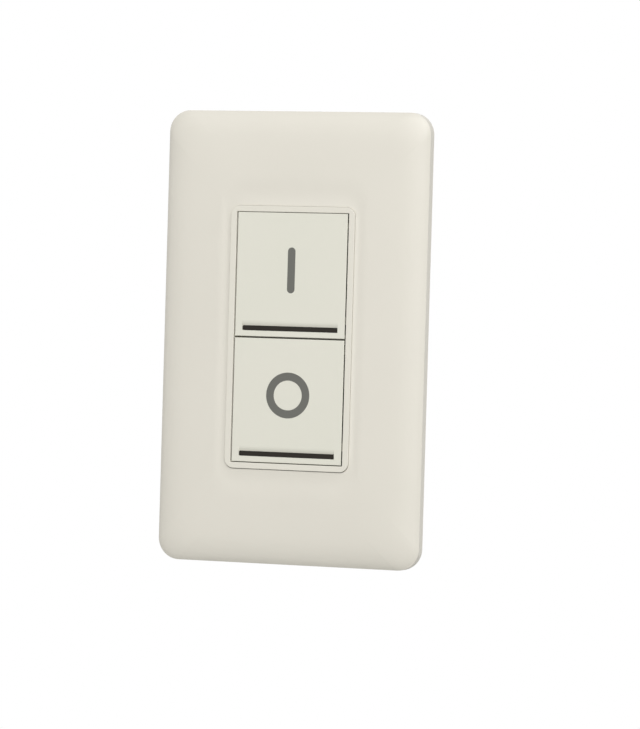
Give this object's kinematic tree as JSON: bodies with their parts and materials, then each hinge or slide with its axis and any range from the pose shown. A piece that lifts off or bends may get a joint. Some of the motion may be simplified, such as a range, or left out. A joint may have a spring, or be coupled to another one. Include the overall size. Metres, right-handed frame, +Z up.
{
  "type": "lighting control keypad",
  "caption": "Wall keypad for lighting control: an on key above an off key, each with a light bar, in a slim frame under a screwless wall plate.",
  "frame": {"origin": "on the wall, at the middle of the plate, where the axis between the box screws crosses the wall plane", "axes": "+X to the right, +Y into the wall, +Z up"},
  "size_m": [0.0698, 0.0296, 0.1142],
  "materials": {
    "plate_plastic": "satin moulded, warm white",
    "adapter_plastic": "moulded, white",
    "frame_plastic": "satin moulded, warm white",
    "key_plastic": "satin moulded, warm white",
    "mark_grey": "second shot, mid grey",
    "smoked_plastic": "smoked, part clear",
    "clear_plastic": "clear moulded plastic",
    "plunger_plastic": "moulded",
    "black_plastic": "moulded",
    "cover_plastic": "moulded, dark grey",
    "terminal_green": "moulded, green",
    "board_laminate": "green solder mask",
    "lamp_white": "moulded lamp body",
    "chip_ceramic": "sintered, plain",
    "zinc_steel": "zinc plated",
    "yoke_steel": "stamped, zinc plated",
    "spring_steel": "rolled",
    "tinned_brass": "tinned",
    "cage_brass": "plain",
    "can_aluminium": "drawn"
  },
  "bodies": {
    "base": {"wall_plate": "plate_plastic", "sub_plate": "adapter_plastic", "plate_screws": "zinc_steel", "box_screws": "zinc_steel", "yoke": "yoke_steel", "front_frame": "frame_plastic", "upper_light_guide": "clear_plastic", "lower_light_guide": "clear_plastic", "upper_dome": "spring_steel", "lower_dome": "spring_steel", "circuit_board": "board_laminate", "switch_bodies": "black_plastic", "switch_covers": "spring_steel", "switch_legs": "tinned_brass", "status_lamps": "lamp_white", "controller": "black_plastic", "controller_legs": "tinned_brass", "board_chips": "chip_ceramic", "storage_can": "can_aluminium", "terminal_block": "terminal_green", "terminal_cages": "cage_brass", "terminal_screws": "zinc_steel", "rear_cover": "cover_plastic", "cover_screws": "zinc_steel"},
    "upper_key": {"upper_key": "key_plastic", "upper_light_bar": "smoked_plastic", "on_mark": "mark_grey"},
    "lower_key": {"lower_key": "key_plastic", "lower_light_bar": "smoked_plastic", "off_mark": "mark_grey"},
    "upper_plunger": {"upper_plunger": "plunger_plastic"},
    "lower_plunger": {"lower_plunger": "plunger_plastic"}
  },
  "joints": [
    {"name": "upper_key_press", "type": "hinge", "parent": "base", "child": "upper_key", "pos_m": [0, -0.003, 0.02851], "axis": [1, 0, 0], "range_deg": [0, 1.25], "stiffness_Nm_per_rad": 1},
    {"name": "upper_switch_press", "type": "slide", "parent": "base", "child": "upper_plunger", "axis": [0, 1, 0], "range_m": [0, 0.00036], "deforming": ["upper_dome"]},
    {"name": "lower_key_press", "type": "hinge", "parent": "base", "child": "lower_key", "pos_m": [0, -0.003, -0.00317], "axis": [1, 0, 0], "range_deg": [0, 1.25], "stiffness_Nm_per_rad": 1},
    {"name": "lower_switch_press", "type": "slide", "parent": "base", "child": "lower_plunger", "axis": [0, 1, 0], "range_m": [0, 0.00036], "deforming": ["lower_dome"]}
  ],
  "couplings": [
    {"joint": "upper_switch_press", "follows": "upper_key_press", "m_per_rad": 0.016},
    {"joint": "lower_switch_press", "follows": "lower_key_press", "m_per_rad": 0.016}
  ]
}
